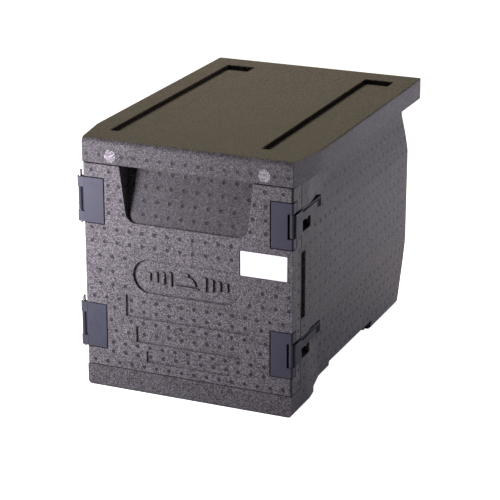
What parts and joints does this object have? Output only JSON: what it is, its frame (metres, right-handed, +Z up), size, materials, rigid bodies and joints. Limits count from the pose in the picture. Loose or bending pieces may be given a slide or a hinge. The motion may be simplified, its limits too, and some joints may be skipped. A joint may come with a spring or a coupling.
{
  "type": "insulated food carrier",
  "caption": "Front-loading insulated foam carrier for catering pans: ribbed cavity, swing door on pin hinges, corner latches, hand pocket and overhanging top slab.",
  "frame": {"origin": "centre of the base footprint, on the surface that the carrier stands on", "axes": "+X to the right seen from the door, +Y from the door to the back, +Z up"},
  "size_m": [0.44, 0.64, 0.476],
  "materials": {
    "foam_body": "matte",
    "foam_door": "matte",
    "nylon_blue_grey": "satin",
    "nylon_dark": "satin",
    "pin_steel": "polished",
    "label_film": "satin"
  },
  "bodies": {
    "carrier_body": {"body_shell": "foam_body", "hinge_arm_upper": "nylon_dark", "hinge_arm_lower": "nylon_dark", "hinge_pin_upper": "pin_steel", "hinge_pin_lower": "pin_steel", "hinge_anchor_upper": "nylon_dark", "hinge_anchor_lower": "nylon_dark", "hinge_anchor_pin_upper": "pin_steel", "hinge_anchor_pin_lower": "pin_steel", "latch_keeper_upper": "nylon_dark", "latch_keeper_lower": "nylon_dark", "latch_keeper_pin_upper": "pin_steel", "latch_keeper_pin_lower": "pin_steel"},
    "door": {"door_panel": "foam_door", "label_card": "label_film", "hinge_plate_upper": "nylon_blue_grey", "hinge_plate_lower": "nylon_blue_grey", "latch_plate_upper": "nylon_dark", "latch_plate_lower": "nylon_dark", "latch_pin_upper": "pin_steel", "latch_pin_lower": "pin_steel"},
    "upper_lever": {"latch_lever_upper": "nylon_dark"},
    "lower_lever": {"latch_lever_lower": "nylon_dark"}
  },
  "joints": [
    {"name": "door_swing", "type": "hinge", "parent": "carrier_body", "child": "door", "pos_m": [-0.211, -0.314, 0.2355], "axis": [0, 0, -1], "range_deg": [0, 270]},
    {"name": "upper_latch", "type": "hinge", "parent": "door", "child": "upper_lever", "pos_m": [0.2015, -0.3125, 0.3595], "axis": [0, 0, -1], "range_deg": [0, 90]},
    {"name": "lower_latch", "type": "hinge", "parent": "door", "child": "lower_lever", "pos_m": [0.2015, -0.3125, 0.1185], "axis": [0, 0, -1], "range_deg": [0, 90]}
  ]
}
